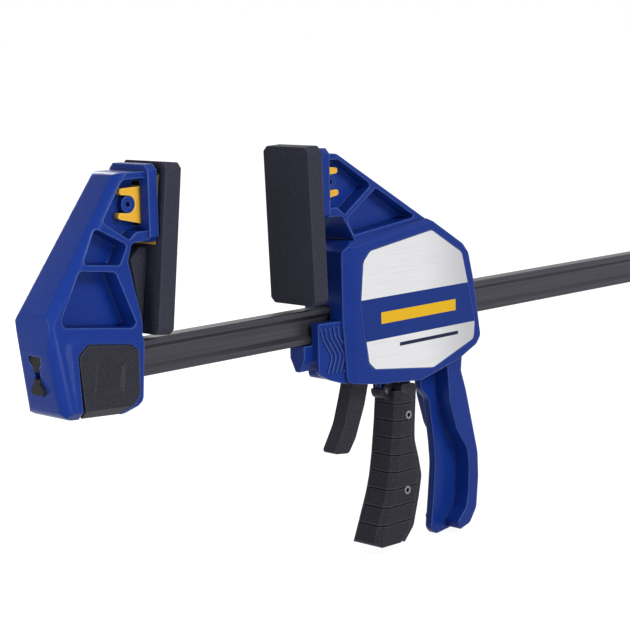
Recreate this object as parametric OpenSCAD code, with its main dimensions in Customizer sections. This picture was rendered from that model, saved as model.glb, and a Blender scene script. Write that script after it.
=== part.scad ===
// One-handed trigger bar clamp: a fixed jaw on the end of an I-section bar, and a moving jaw
// whose trigger walks it along the bar. Millimetres. +X runs along the bar from the fixed jaw
// to the tail, +Z up the jaws, and the origin is the middle of the fixed jaw's clamping face.

/* [Bar] */
// Length of the steel bar
bar_len = 555; // [480:1:900]
// Width of the bar across its flanges
bar_w = 10; // [8:0.1:12]
// Height of the bar
bar_h = 20.2; // [18:0.1:24]
// Height of a flange's straight edge
bar_edge = 3.4; // [2.5:0.1:4.5]
// Height of the slope from a flange to the web
bar_slope = 2.4; // [1.5:0.1:3.5]
// Thickness of the web
web_t = 5; // [4:0.1:6.5]
// Small bevel along the bar's corners
bar_bevel = 0.6; // [0.3:0.1:1]
// Distance from each end of the bar to its lock hole
lock_inset = 33.8; // [30:0.1:38]
// Radius of the lock holes
lock_hole_r = 3.1; // [2.6:0.05:3.6]
// Width of the slot from a lock hole to the bar's end
lock_slot_w = 3.8; // [3:0.1:4]

/* [Opening] */
// Opening between the two clamping faces when both pads stand square
opening = 97.7; // [40:0.1:200]
// Height of the pad pivots above the bar
pivot_h = 73.5; // [68:0.1:80]
// Distance from a pad pivot to the square pad's clamping face
pivot_to_face = 27.3; // [26:0.1:30]
// Lean of the fixed pad, top towards the opening
fixed_lean = 6; // [0:0.1:6]
// Lean of the moving pad, top towards the opening
moving_lean = 2.1; // [0:0.1:6]

/* [Pads] */
// Height of a pad
pad_h = 92; // [84:0.5:100]
// Width of a pad
pad_w = 36.8; // [32:0.2:42]
// Thickness of a pad
pad_t = 10.9; // [9:0.1:12]
// Gap from the bar to a square pad's lower edge
pad_gap = 4.75; // [4:0.05:8]
// Corner cut of a pad
pad_corner = 3; // [1:0.1:5]
// Half width of the keel behind a pad
keel_half = 5; // [4:0.1:6]
// Thickness of a carrier's base plate, let into the pad
carrier_base_t = 3; // [2:0.1:4]
// Inner radius of a carrier's hooks
hook_r = 4.7; // [4.4:0.05:5.2]
// Thickness of each hook
hook_t = 3.5; // [2.5:0.1:4]
// Gap between hook and pivot boss
hook_gap = 0.3; // [0.2:0.05:0.5]

/* [Jaws] */
// Half width of the fixed jaw at its widest
jaw_half = 18; // [16:0.1:20]
// Half width of the jaws at the top
jaw_top_half = 12.8; // [12:0.1:15]
// Half thickness of the web between a jaw's pockets
jaw_web = 4.5; // [3.5:0.1:5.5]
// Rounding of the fixed jaw's rear edges
jaw_round = 8; // [4:0.5:9]
// Rounding where the fixed jaw's rear turns into its slope
kink_round = 8; // [4:0.5:10]
// Height of the slanted faces along the fixed jaw's lower edges
facet_h = 4.3; // [2:0.1:6]
// How far those faces reach in from the sides
facet_in = 4.5; // [2:0.1:6]
// Thickness of the flange behind each pad
flange_t = 6; // [5:0.1:8]
// Half width of that flange
flange_half = 15.8; // [14:0.1:17]
// Gap between a square pad and its flange
flange_gap = 2.4; // [2.3:0.1:3]
// Half width of the moving jaw's body
body_half = 18.4; // [17:0.1:20]
// Half width of the body's front face
front_half = 15.6; // [11:0.1:17]
// Length of the slanted corners beside it
front_slant = 8; // [4:0.5:12]
// How far the upper jaw stands in from the body's sides
ledge_in = 3.5; // [2:0.1:5]
// Rise of the slanted ledge between them
ledge_rise = 3.4; // [2:0.1:5]
// Half width of the cavity that holds the levers
cavity_half = 12.5; // [12:0.1:13]
// Half width of the snout's cheeks beside the bar
snout_half = 11; // [9:0.1:12]
// Half width of the cheeks where they meet the body
cheek_rear_half = 14.4; // [12:0.1:16]
// Half width of the tongue under the bar
tongue_half = 5.8; // [4.5:0.1:7]
// Height of the tongue
tongue_h = 16.2; // [14:0.1:18]
// Thickness of the handle's web
handle_web = 5; // [4:0.1:7]
// Half width of the handle's rear flange
handle_half = 14; // [12:0.1:16]
// Thickness of a side plate
plate_t = 1; // [0.6:0.1:1.5]
// Depth of the recess that holds a side plate
plate_recess = 0.8; // [0.4:0.1:1]

/* [Levers] */
// Radius of the steel pins that carry the levers
pin_r = 2; // [1.6:0.05:2.2]
// Radius of the trigger's pin
trigger_pin_r = 2.2; // [1.8:0.05:2.5]
// Thickness of the drive lever
drive_t = 6; // [5:0.1:6.5]
// Thickness of the brake lever
brake_t = 4; // [3:0.1:5]
// Lean of the brake lever when it holds
brake_lean = 4; // [3.5:0.1:4.2]
// Half width of the drive and brake levers
lever_half = 11.3; // [9:0.1:11.6]
// Half width of the release lever
release_half = 5.2; // [4.5:0.1:6]
// Half width of the trigger
trigger_half = 12; // [11:0.1:13]
// Half width of the flat along the trigger's front
trigger_flat = 8; // [6:0.1:9]
// Depth of the slanted corners beside that flat
trigger_bevel = 4.3; // [2:0.1:5]
// Spacing of the grooves across the trigger
groove_pitch = 10.5; // [8:0.1:14]
// Depth of the grooves
groove_d = 0.8; // [0.4:0.1:1.2]
// Width of the grooves
groove_w = 0.9; // [0.5:0.1:1.5]

/* [Push button] */
// Thickness of the button
button_t = 5.8; // [4.5:0.1:6]
// Travel of the button
button_travel = 5.5; // [5:0.1:5.6]
// How far the button stands out of the jaw
button_proud = 0.5; // [0:0.1:1]
// Width of the thumb dish in the button
thumb_w = 20; // [14:0.1:22]
// Height of the thumb dish
thumb_h = 16.6; // [12:0.1:18]
// Depth of the thumb dish
thumb_deep = 1.2; // [0.6:0.1:1.4]
// Width of the dish's sloping sides
thumb_in = 2.5; // [1.5:0.1:4]
// Radius of the lock pin
lock_pin_r = 3.03; // [2.4:0.01:3.3]
// Radius of the lock pin's neck
lock_neck_r = 1.7; // [1.4:0.05:1.8]

/* [Fits] */
// Radial play of a pin in the piece that turns on it
pin_play = 0.05; // [0.02:0.01:0.1]
// Play of the bar in the fixed jaw
socket_play = 0.15; // [0.1:0.05:0.3]
// Play of the bar in the moving jaw
slide_play = 0.4; // [0.3:0.05:0.6]
// Gap around pieces that move past each other
gap = 0.4; // [0.3:0.05:0.6]

/* [Hidden] */
$fn = 48;
blue = "#2440a0";
black = "#2b2b2e";
steel = "#6d7076";
yellow = "#f2b01e";

// Places along the bar, measured from the square fixed face
fixed_x = -pivot_to_face;
moving_x = opening + pivot_to_face;
bar_front = fixed_x - 58.2;
bar_base = -bar_h;
lock_x = bar_front + lock_inset;
tail_lock_x = bar_front + bar_len - lock_inset;

// Middle of the leaning fixed face, which becomes the origin
face_drop = pad_gap + pad_h / 2 - pivot_h;
origin_x = fixed_x + pivot_to_face * cos(fixed_lean) + face_drop * sin(fixed_lean);
origin_z = pivot_h - pivot_to_face * sin(fixed_lean) + face_drop * cos(fixed_lean);

// The jaws' upper outline above the pivot, and the flange behind each pad
jaw_top = pivot_h + 17;
flange_top = pivot_h + 20.5;
flange_base = pivot_h - 20.5;
flange_front = pivot_to_face - pad_t - flange_gap;
flange_back = flange_front - flange_t;
fixed_rim = 4.8;
moving_rim = 3.1;
wall_top = pivot_h - 14.3;
wall_base = pivot_h - 19.1;

// Pivots of the moving jaw's levers, from its pad pivot and the bar
drive_at = [49.5, bar_base - 5.8];
brake_at = [34, 9];
brake_low = bar_base - 22.6;
release_at = [21.5, bar_base - 9.1];
trigger_at = [50.2, bar_base - 37.8];
trigger_nose = [55.8, bar_base - 23.8];
drive_low = bar_base - 25.8;
cavity_front = 14;
cavity_rear = 71;
cavity_top = 17;
spring_seat = [40.6, 43.4];
spring_z = 8;

// Rounded outlines: each corner is [x, z, radius]
function unit(v) = v / norm(v);
function flat2(p) = [p[0], p[1]];
function corner(a, b, c, steps) =
    b[2] == 0 ? [flat2(b)] :
    let (
        u = unit(flat2(a) - flat2(b)),
        v = unit(flat2(c) - flat2(b)),
        half = acos(u * v) / 2,
        centre = flat2(b) + unit(u + v) * b[2] / sin(half),
        start = unit(flat2(b) + u * b[2] / tan(half) - centre),
        end = unit(flat2(b) + v * b[2] / tan(half) - centre),
        turn = 180 - 2 * half
    )
    [for (k = [0:steps])
        centre + b[2] * (sin(turn * (1 - k / steps)) * start + sin(turn * k / steps) * end) / sin(turn)];
function soft(p, steps = 4) =
    let (n = len(p))
    [for (i = [0:n - 1]) each corner(p[(i + n - 1) % n], p[i], p[(i + 1) % n], steps)];

// Moves the model from the bar's frame to the origin
module seat() { translate([-origin_x, 0, -origin_z]) children(); }
// Moves a moving jaw piece along the bar
module on_moving() { translate([moving_x, 0, 0]) children(); }
// Moves a fixed jaw piece along the bar
module on_fixed() { translate([fixed_x, 0, 0]) children(); }
// An outline in the side view, extruded from y0 to y1
module side(points, y0, y1) {
    translate([0, y1, 0])
        rotate([90, 0, 0])
            linear_extrude(y1 - y0) polygon(points);
}
// The same across the middle plane
module across(points, half) { side(points, -half, half); }
// A round bar across the jaws
module rod(at, r, y0, y1) {
    translate([at[0], y1, at[1]])
        rotate([90, 0, 0])
            cylinder(r = r, h = y1 - y0);
}
// A piece and its mirror image on the far side
module both_sides() {
    children();
    mirror([0, 1, 0]) children();
}
// Further out than any side
far_out = 40;
// A block given by its corners
module block(low, high) { translate(low) cube(high - low); }

// The bar's section, grown by play
function bar_outline(play) =
    let (
        w = bar_w / 2 + play,
        h = bar_h / 2 + play,
        b = bar_bevel,
        t = web_t / 2 + play,
        e = bar_h / 2 - bar_edge - play,
        s = bar_h / 2 - bar_edge - bar_slope - play,
        quarter = [[t, s], [w, e], [w, h - b], [w - b, h]]
    )
    concat(
        quarter,
        [for (i = [3:-1:0]) [-quarter[i][0], quarter[i][1]]],
        [for (q = quarter) [-q[0], -q[1]]],
        [for (i = [3:-1:0]) [quarter[i][0], -quarter[i][1]]]
    );
module bar_shape(x0, x1, play) {
    translate([x0, 0, bar_base / 2])
        rotate([90, 0, 90])
            linear_extrude(x1 - x0) polygon(bar_outline(play));
}
module keyhole(x, dir) {
    rod([x, bar_base / 2], lock_hole_r, -bar_w, bar_w);
    slot = lock_inset + 1;
    translate([dir > 0 ? x : x - slot, -bar_w, bar_base / 2 - lock_slot_w / 2])
        cube([slot, 2 * bar_w, lock_slot_w]);
}
module bar() {
    color(steel)
        difference() {
            bar_shape(bar_front, bar_front + bar_len, 0);
            keyhole(lock_x, -1);
            keyhole(tail_lock_x, 1);
        }
}

// Pad carrier: a base plate let into the pad, a neck through the flange, and two open hooks
neck_half = jaw_web + gap + hook_t;
window_half = neck_half + gap;
base_low = flange_base - pivot_h - 0.3;
base_high = flange_top - pivot_h - 3;
base_half = pad_w / 2 - 6;
base_back = pivot_to_face - pad_t;
neck_front = 9.8;
tip_r = 1.7;
tip_at = [-4.65, hook_r + tip_r + 0.05];
module hook_outline() {
    arm = tip_at[1] + tip_r;
    polygon([[tip_at[0], arm], [tip_at[0], -arm], [9, -neck_front], [base_back + 0.1, -neck_front],
        [base_back + 0.1, neck_front], [9, neck_front]]);
    for (s = [-1, 1]) translate([tip_at[0], s * tip_at[1]]) circle(tip_r);
}
module carrier_shape() {
    difference() {
        union() {
            block([base_back, -base_half, base_low], [base_back + carrier_base_t, base_half, base_high]);
            rotate([90, 0, 0]) linear_extrude(2 * neck_half, center = true) hook_outline();
        }
        rod([0, 0], hook_r, -pad_w, pad_w);
        block([-20, -pad_w, -hook_r], [0, pad_w, hook_r]);
        block([-20, -jaw_web - gap, -20], [flange_back - gap, jaw_web + gap, 20]);
    }
}
// Pad: a thick plate with cut corners, and a keel that stiffens it below the flange
module pad_face_outline(w, h, c) {
    polygon([[-w / 2, c], [-w / 2 + c, 0], [w / 2 - c, 0], [w / 2, c],
        [w / 2, h - c], [w / 2 - c, h], [-w / 2 + c, h], [-w / 2, h - c]]);
}
pad_low = pad_gap - pivot_h;
keel_top = base_low - 1.5;
function keel_outline() = soft([[base_back + 0.1, pad_low + 3.5, 0], [base_back + 0.1, keel_top, 0],
    [base_back - 4.6, keel_top, 1], [base_back - 10.4, keel_top - 7.1, 1.5],
    [base_back - 3.8, keel_top - 28.3, 8]]);
// The space that a leaning pad's keel needs in the jaw behind it
keel_gap = 0.8;
max_lean = 6;
module keel_room() {
    translate([-keel_gap, 0, pivot_h - keel_gap])
        rotate([0, max_lean, 0]) across(keel_outline(), keel_half + keel_gap);
}
module pad_shape() {
    difference() {
        union() {
            translate([base_back, 0, pad_low])
                rotate([90, 0, 90])
                    linear_extrude(pad_t) pad_face_outline(pad_w, pad_h, pad_corner);
            across(keel_outline(), keel_half);
        }
        block([base_back - 1, -base_half, base_low], [base_back + carrier_base_t, base_half, base_high]);
    }
}
// Puts a pad piece on its pivot, leaning towards the opening
module lean_fixed() { on_fixed() translate([0, 0, pivot_h]) rotate([0, fixed_lean, 0]) children(); }
module lean_moving() {
    on_moving()
        translate([0, 0, pivot_h])
            rotate([0, -moving_lean, 0])
                mirror([1, 0, 0]) children();
}
module fixed_pad_carrier() { color(yellow) lean_fixed() carrier_shape(); }
module fixed_pad() { color(black) lean_fixed() pad_shape(); }
module moving_pad_carrier() { color(yellow) lean_moving() carrier_shape(); }
module moving_pad() { color(black) lean_moving() pad_shape(); }

// Upper jaw shapes that both jaws share, drawn for the fixed jaw and mirrored for the moving one
module flange() {
    translate([flange_back, 0, flange_base])
        rotate([90, 0, 90])
            linear_extrude(flange_t)
                pad_face_outline(2 * flange_half, flange_top - flange_base, pad_corner);
}
module neck_window() {
    block([flange_back - 2, -window_half, pivot_h - neck_front - 2],
        [flange_front + 1, window_half, pivot_h + neck_front + 2]);
}
module pivot_boss() {
    difference() {
        rod([0, pivot_h], hook_r - hook_gap, -neck_half, neck_half);
        both_sides() rod([0, pivot_h], 1.6, jaw_web, neck_half + 1);
    }
}
// A section across the jaws, given by its +Y half from top to bottom and drawn along the bar. It is
// longer and higher than any jaw.
reach = 300;
module along_bar(half_section) {
    n = len(half_section);
    rotate([90, 0, 90])
        linear_extrude(2 * reach, center = true)
            polygon(concat(half_section,
                [for (i = [n - 1:-1:0]) [-half_section[i][0], half_section[i][1]]]));
}
// The jaws narrow towards the top, seen along the bar
module jaw_taper(half, from_z) {
    along_bar([[jaw_top_half, reach], [jaw_top_half, jaw_top], [half, from_z], [half, -reach]]);
}
// The same kind of section, turned along a line in the side view
module along_line(at, angle, half_section) {
    translate([at[0], 0, at[1]]) rotate([0, angle, 0]) along_bar(half_section);
}

// Fixed jaw: a triangular moulding with a socket for the bar and pockets on both sides
kink = [-59.4, 22.4];
top_rear = [-10.3, jaw_top];
lower_rear = [-53.5, bar_base - 13];
lower_front = [-12.5, bar_base - 15.6];
slope = unit([top_rear[0] - kink[0], top_rear[1] - kink[1]]);
rim_start = kink + fixed_rim * [slope[1], -slope[0]];
function rim_x(z) = rim_start[0] + (z - rim_start[1]) * slope[0] / slope[1];
function fixed_outline() = soft([
    [flange_back + 1, jaw_top, 0], [top_rear[0], top_rear[1], 8], [kink[0], kink[1], kink_round],
    [rear_at[0], rear_at[1], 10],
    [lower_rear[0], lower_rear[1], 8], [lower_front[0], lower_front[1], 6],
    [-2.5, bar_base - 9.3, 4], [0.3, 12, 4],
    [-6.8, 44.5, 5], [-3.6, wall_base - 0.8, 2.5], [flange_back + 1, wall_base, 0]]);
// Its sides lean in towards the top, by this much for each millimetre of height
rear_at = [-59.5, 1.5];
side_fall = (jaw_half - jaw_top_half) / (jaw_top - lower_front[1]);
function side_half(z) = jaw_half - side_fall * (z - lower_front[1]);
// The space in front of one of the jaw's rear faces and just around its near wall, with the edge
// between them rounded
wall_clear = 0.3;
module rear_edge(at, angle) {
    translate([at[0], -side_half(at[1]) - wall_clear, at[1]])
        rotate([0, angle, 0])
            rotate([-atan(side_fall * cos(angle)), 0, -atan(side_fall * sin(angle))])
                linear_extrude(2 * reach, center = true) {
                    translate([jaw_round, 0]) square(reach);
                    translate([0, jaw_round]) square(reach);
                    translate([jaw_round, jaw_round]) circle(jaw_round);
                }
}
module rear_round(at, angle) {
    intersection() {
        rear_edge(at, angle);
        mirror([0, 1, 0]) rear_edge(at, angle);
    }
}
slope_angle = atan2(top_rear[0] - kink[0], top_rear[1] - kink[1]);
lower_angle = atan2(rear_at[0] - lower_rear[0], rear_at[1] - lower_rear[1]);
module fixed_body() {
    intersection() {
        across(fixed_outline(), jaw_half);
        jaw_taper(jaw_half, lower_front[1]);
        rear_round(kink, slope_angle);
        rear_round(rear_at, lower_angle);
    }
}
// A panel around the push button stands out of the leaning sides, with slanted edges
panel_slant = 0.59;
panel_depth = 4;
module panel_side(at, angle) {
    along_line(at, angle, [[jaw_half - panel_depth, panel_depth / panel_slant], [jaw_half, 0],
        [jaw_half, -reach]]);
}
module button_panel() {
    intersection() {
        across(fixed_outline(), jaw_half);
        panel_side([-38.8, 6.7], 7);
        panel_side([-48.6, 4], -94);
        panel_side([-46.8, 6], -43);
    }
}
// The lower edges of the sides are slanted
base_angle = atan2(lower_rear[1] - lower_front[1], lower_front[0] - lower_rear[0]);
module base_facets() {
    rise = facet_h / facet_in;
    along_line(lower_rear, base_angle, [[reach, reach], [jaw_half + 20, rise * (facet_in + 20)],
        [jaw_half - facet_in - 1 / rise, -1]]);
}
module fixed_pockets() {
    lower = soft([[rim_x(42.8), 42.8, 3], [-52.8, 19.2, 3], [-51, 15, 2.5], [-6.4, 9.4, 3], [-3.4, 11.5, 2],
        [-15.4, 39.8, 3]]);
    middle = soft([[-36.6, 45.6, 2], [-12.2, 42.9, 2.5], [-6.2, wall_base - 1.4, 2],
        [-26.2, pivot_h - 10.1, 2]]);
    upper = soft([[rim_x(pivot_h - 7.5), pivot_h - 7.5, 2], [-4.8, wall_base + 1, 1.5], [0.2, wall_top, 2.5],
        [flange_back, wall_top, 0], [flange_back, jaw_top - 3.5, 0],
        [rim_x(jaw_top - 3.5), jaw_top - 3.5, 4]]);
    both_sides()
        for (outline = [lower, middle, upper])
            side(outline, -far_out, -jaw_web);
}
// The push button fills a pocket in the near side
function base_z(u) =
    lower_rear[1] + (u - lower_rear[0]) * (lower_front[1] - lower_rear[1])
        / (lower_front[0] - lower_rear[0]);
button_left = -40.8;
button_right = -15.5;
button_top = [[-5, bar_base - 5, 3], [-4.8, -2.6, 4], [-9.6, 0.9, 3], [-37.4, 4.8, 3], [-44.3, -0.5, 4]];
function button_corners(base_drop) = concat([[button_left, base_z(button_left) - base_drop, 0],
    [button_right, base_z(button_right) - base_drop, 0], [button_right, base_z(button_right) + 1.5, 0],
    [-7.5, bar_base - 9.3, 4]], button_top);
button_front = -jaw_half - button_proud;
button_back = button_front + button_t;
pocket_floor = button_back + button_travel + gap;
function button_outline(grow, base_drop) = soft([for (p = button_corners(base_drop))
    let (mid = [-24, bar_base / 2 - 3], d = flat2(p) - mid)
        [p[0] + grow * sign(d[0]), p[1] + grow * sign(d[1]), p[2]]]);
clip_y = jaw_half - 5.5;
clip_r = 5.2;
clip_room_r = clip_r + 1.3;
module fixed_jaw() {
    color(blue)
        difference() {
            on_fixed() {
                difference() {
                    intersection() {
                        union() {
                            fixed_body();
                            button_panel();
                        }
                        base_facets();
                    }
                    fixed_pockets();
                    side(button_outline(gap, 20), -far_out, pocket_floor);
                }
                flange();
                pivot_boss();
            }
            on_fixed() {
                neck_window();
                keel_room();
            }
            bar_shape(bar_front - 20, fixed_x + 10, socket_play);
            rod([lock_x, bar_base / 2], lock_pin_r + pin_play, -far_out, far_out);
            rod([lock_x, bar_base / 2], clip_room_r, clip_y - 1.4, far_out);
        }
}
// A slanted square for the thumb, steep to the left and below
thumb_at = [-24.4, -14];
thumb_angle = 7.5;
thumb_slope = thumb_in / thumb_deep;
module thumb_slab(size) {
    linear_extrude(2 * thumb_w, center = true)
        polygon([[-size / 2 - thumb_slope, -1], [thumb_in - size / 2, thumb_deep],
            [size / 2 - thumb_in, thumb_deep],
            [size / 2 + thumb_slope, -1]]);
}
module thumb_dish() {
    translate([thumb_at[0], button_front, thumb_at[1]])
        rotate([0, thumb_angle, 0])
            intersection() {
                thumb_slab(thumb_w);
                rotate([0, -90, 0]) thumb_slab(thumb_h);
            }
}
spring_cup_r = 6;
module push_button() {
    color(black)
        difference() {
            on_fixed() {
                intersection() {
                    side(button_outline(0, -0.2), button_front, button_back);
                    base_facets();
                }
            }
            on_fixed() thumb_dish();
            rod([lock_x, bar_base / 2], spring_cup_r, button_front + 2, button_back + 1);
        }
}
// Lock pin: stepped, so that pressing the button brings its neck into the bar's slot
neck_from = -button_travel - web_t / 2 - 0.4;
neck_to = -web_t / 2 - 0.3;
module lock_pin() {
    color(steel) {
        rod([lock_x, bar_base / 2], lock_pin_r, button_front + 2, neck_from);
        rod([lock_x, bar_base / 2], lock_neck_r, neck_from - 0.1, neck_to + 0.1);
        rod([lock_x, bar_base / 2], lock_pin_r, neck_to, clip_y);
        rod([lock_x, bar_base / 2], lock_neck_r, clip_y - 0.1, clip_y + 1);
        rod([lock_x, bar_base / 2], lock_pin_r - 0.4, clip_y + 0.9, clip_y + 2);
    }
}
module lock_pin_clip() {
    color(steel)
        difference() {
            rod([lock_x, bar_base / 2], clip_r, clip_y, clip_y + 0.9);
            rod([lock_x, bar_base / 2], lock_neck_r, clip_y - 1, clip_y + 2);
            translate([lock_x - lock_neck_r * 0.8, clip_y - 1, bar_base / 2 - 8])
                cube([lock_neck_r * 1.6, 3, 8]);
        }
}

// A coil spring: one round wire swept along a helix whose end turns lie close
function coil_ring(t, turns, len, r, wire, sides) =
    let (
        lead = turns < 3 ? t : t - 0.16 * sin(360 * t),
        a = 360 * turns * t,
        c = [r * cos(a), r * sin(a), wire + (len - 2 * wire) * lead]
    )
    [for (k = [0:sides - 1])
        let (b = 360 * k / sides) c + wire * cos(b) * [cos(a), sin(a), 0] + [0, 0, wire * sin(b)]];
module coil(turns, len, r, wire) {
    sides = 6;
    rings = 8 * turns;
    points = [for (i = [0:rings]) each coil_ring(i / rings, turns, len, r, wire, sides)];
    walls = [for (i = [0:rings - 1], k = [0:sides - 1])
        let (a = i * sides + k, b = i * sides + (k + 1) % sides)
            each [[a, b, b + sides], [a, b + sides, a + sides]]];
    first = [for (k = [1:sides - 2]) [0, k + 1, k]];
    last = [for (k = [1:sides - 2]) [rings * sides, rings * sides + k, rings * sides + k + 1]];
    polyhedron(points, concat(walls, first, last));
}
module button_spring() {
    color(steel)
        translate([lock_x, button_front + 2.05, bar_base / 2])
            rotate([-90, 0, 0])
                coil(5, pocket_floor - button_front - 2.1, (lock_pin_r + spring_cup_r) / 2, 0.45);
}

// Moving jaw: upper jaw, lever housing, snout and handle in one moulding
ledge_front = [8.5, 38.4];
ledge_rear = [75.3, 47.3];
ledge_angle = -atan2(ledge_rear[1] - ledge_front[1], ledge_rear[0] - ledge_front[0]);
moving_top = [0.4, jaw_top];
heel = [106, 28.1];
fall = unit([heel[0] - moving_top[0], heel[1] - moving_top[1]]);
function top_z(u) = moving_top[1] + (u - moving_top[0]) * fall[1] / fall[0];
rear_top = [116.3, 3.8];
rear_low = [122.6, bar_base - 11.8];
body_base = bar_base - 32.1;
body_front = 0.5;
ledge_slope = ledge_rise / ledge_in;
function body_outline() = soft([
    [ledge_front[0], ledge_front[1], 3], [body_front, 33, 3], [body_front, -8, 0], [3, bar_base - 25, 5],
    [24, bar_base - 28.3, 4], [66, body_base, 3], [101, bar_base - 24.3, 5],
    [118.5, bar_base - 16.8, 4], [rear_low[0], rear_low[1], 4],
    [rear_top[0], rear_top[1], 10], [111.5, 22, 4], [heel[0], heel[1], 4],
    [ledge_rear[0], top_z(ledge_rear[0]), 2]]);
function upper_outline() = soft([
    [-flange_back - 1, jaw_top, 0], [-flange_back - 1, wall_base, 0], [3.6, wall_base - 0.8, 2.5],
    [11.4, 41.5, 3],
    [14, 34, 0], [60, 34, 0], [88, top_z(88) - 6, 0], [88, top_z(88), 0],
    [moving_top[0], moving_top[1], 8]]);
snout_front = -15.5;
tongue_front = -22.4;
tongue_keel = 1.6;
tongue_top = 0.6;
tongue_side = 8.2;
cheek_inner = 8.2;
function near_cheek_outline() = soft([
    [snout_front, -8, 1.5], [snout_front, bar_base - 16.6, 2], [-12.4, bar_base - 19.4, 5],
    [-6, bar_base - 22.4, 8],
    [3, bar_base - 25.4, 0], [15, bar_base - 26, 0], [15, -8, 0]]);
function far_cheek_outline() = soft([
    [snout_front, -8, 1.5], [snout_front, bar_base - 11, 3], [3, bar_base - 16, 0],
    [15, bar_base - 17, 0], [15, -8, 0]]);
// Seen from above, the cheeks widen towards the body
module snout() {
    intersection() {
        linear_extrude(200, center = true)
            polygon([[-60, -snout_half], [snout_front, -snout_half], [6, -cheek_rear_half],
                [15, -cheek_rear_half],
                [15, cheek_rear_half], [6, cheek_rear_half], [snout_front, snout_half], [-60, snout_half]]);
        union() {
            side(near_cheek_outline(), -far_out, -cheek_inner);
            side(far_cheek_outline(), -cheek_inner - 0.1, far_out);
        }
    }
    translate([tongue_front, 0, bar_base])
        rotate([90, 0, 90])
            linear_extrude(15 - tongue_front)
                polygon([[-tongue_half, -tongue_top], [-tongue_half, -tongue_side],
                    [-tongue_keel, -tongue_h],
                    [tongue_keel, -tongue_h], [tongue_half, -tongue_side], [tongue_half, -tongue_top]]);
}
module moving_pockets() {
    front = soft([
        [-flange_back, jaw_top - 3.5, 0], [-flange_back, wall_top, 0], [-0.9, wall_top, 2],
        [5.5, wall_base, 2], [29.6, top_z(29.6) - moving_rim, 2], [2, jaw_top - 3.5, 4]]);
    rear = soft([
        [7.2, wall_base - 2.4, 2], [12, 41.8, 2], [64.4, 47.4, 0.8], [65.2, top_z(65.2) - moving_rim, 0.6],
        [33.2, top_z(33.2) - moving_rim, 2]]);
    both_sides()
        for (outline = [front, rear])
            side(outline, -far_out, -jaw_web);
}
function handle_web_outline() = soft([
    [82, body_base + 8, 0], [83, bar_base - 42, 4], [90.5, bar_base - 50, 6], [94.5, bar_base - 78, 40],
    [95.8, bar_base - 92, 40], [93.5, bar_base - 114, 40], [91, bar_base - 133.5, 5],
    [95, bar_base - 138.3, 4], [117, bar_base - 135.8, 3], [118, bar_base - 90, 0],
    [100, bar_base - 24, 0]]);
function handle_rear_outline() = soft([
    [95.2, bar_base - 24, 0], [97.4, bar_base - 50.2, 20], [104, bar_base - 70, 20],
    [114, bar_base - 84, 14],
    [115.4, bar_base - 95, 20], [114.6, bar_base - 113, 20], [112, bar_base - 123, 6],
    [104, bar_base - 130.2, 2], [105.6, bar_base - 135.6, 1], [115.5, bar_base - 133, 5],
    [122, bar_base - 124, 8], [124.2, bar_base - 104, 20], [123.8, bar_base - 88, 20],
    [113, bar_base - 46.2, 30], [108.4, bar_base - 32.8, 0], [110, bar_base - 18, 0]]);
plate_points = [
    [13.7, 3.5, 6], [16, 25.8, 5], [22.3, 31.7, 4], [77, 39, 5], [105, 22.6, 5], [110.4, 3.2, 12],
    [116.8, bar_base - 2.1, 12], [115.6, bar_base - 12.8, 4], [77, bar_base - 25.7, 8],
    [24.6, bar_base - 19.2, 4], [19.5, bar_base - 14.8, 4], [17.3, bar_base - 1.8, 8]];
function plate_outline(grow) =
    let (mid = [64, bar_base / 2 + 6])
    soft([for (p = plate_points)
        let (d = flat2(p) - mid) [p[0] + grow * sign(d[0]), p[1] + grow * sign(d[1]), p[2]]]);
lug_half = 2.2;
lug_r = 3.9;
lug_rear = trigger_at[0] + 1.4;
module trigger_lug() {
    block([44, -cavity_half - 1, body_base + 1.6], [lug_rear, cavity_half + 1, drive_low - 0.6]);
    block([trigger_at[0] - 2.6, -6.2, trigger_at[1] + lug_r + gap], [lug_rear, 6.2, body_base + 2]);
    block([trigger_at[0] - lug_r, -lug_half, trigger_at[1]], [lug_rear, lug_half, body_base + 2]);
    rod(trigger_at, lug_r, -lug_half, lug_half);
}
module moving_jaw_solid() {
    intersection() {
        across(body_outline(), body_half);
        linear_extrude(2 * reach, center = true)
            polygon([[body_front, front_half], [body_front + front_slant, body_half], [reach, body_half],
                [reach, -body_half], [body_front + front_slant, -body_half], [body_front, -front_half]]);
        along_line(ledge_front, ledge_angle, [[0, (body_half - ledge_in) * ledge_slope],
            [body_half + 1, -ledge_rise - ledge_slope], [body_half + 1, -reach]]);
    }
    difference() {
        intersection() {
            across(upper_outline(), body_half);
            jaw_taper(body_half - ledge_in, ledge_front[1]);
        }
        moving_pockets();
    }
    mirror([1, 0, 0]) flange();
    pivot_boss();
    snout();
    across(handle_web_outline(), handle_web / 2);
    across(handle_rear_outline(), handle_half);
}
module moving_jaw() {
    color(blue)
        on_moving() {
            difference() {
                moving_jaw_solid();
                mirror([1, 0, 0]) {
                    neck_window();
                    keel_room();
                }
                block([cavity_front, -cavity_half, bar_base - 60], [cavity_rear, cavity_half, cavity_top]);
                block([-60, -bar_w / 2 - slide_play, bar_base - slide_play],
                    [200, bar_w / 2 + slide_play, slide_play]);
                both_sides() side(plate_outline(gap / 2), -far_out, -body_half + plate_recess);
                for (at = [drive_at, brake_at, release_at]) rod(at, pin_r, -far_out, far_out);
            }
            block([spring_seat[0], -cavity_half - 1, bar_base - 16],
                [spring_seat[1], cavity_half + 1, bar_base - 3.8]);
            difference() {
                trigger_lug();
                rod(trigger_at, trigger_pin_r, -far_out, far_out);
            }
        }
}
module plate() {
    on_moving()
        side(plate_outline(0), -body_half + plate_recess - plate_t, -body_half + plate_recess);
}
module near_side_plate() { color("silver") plate(); }
module far_side_plate() { color("silver") mirror([0, 1, 0]) plate(); }

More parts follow.
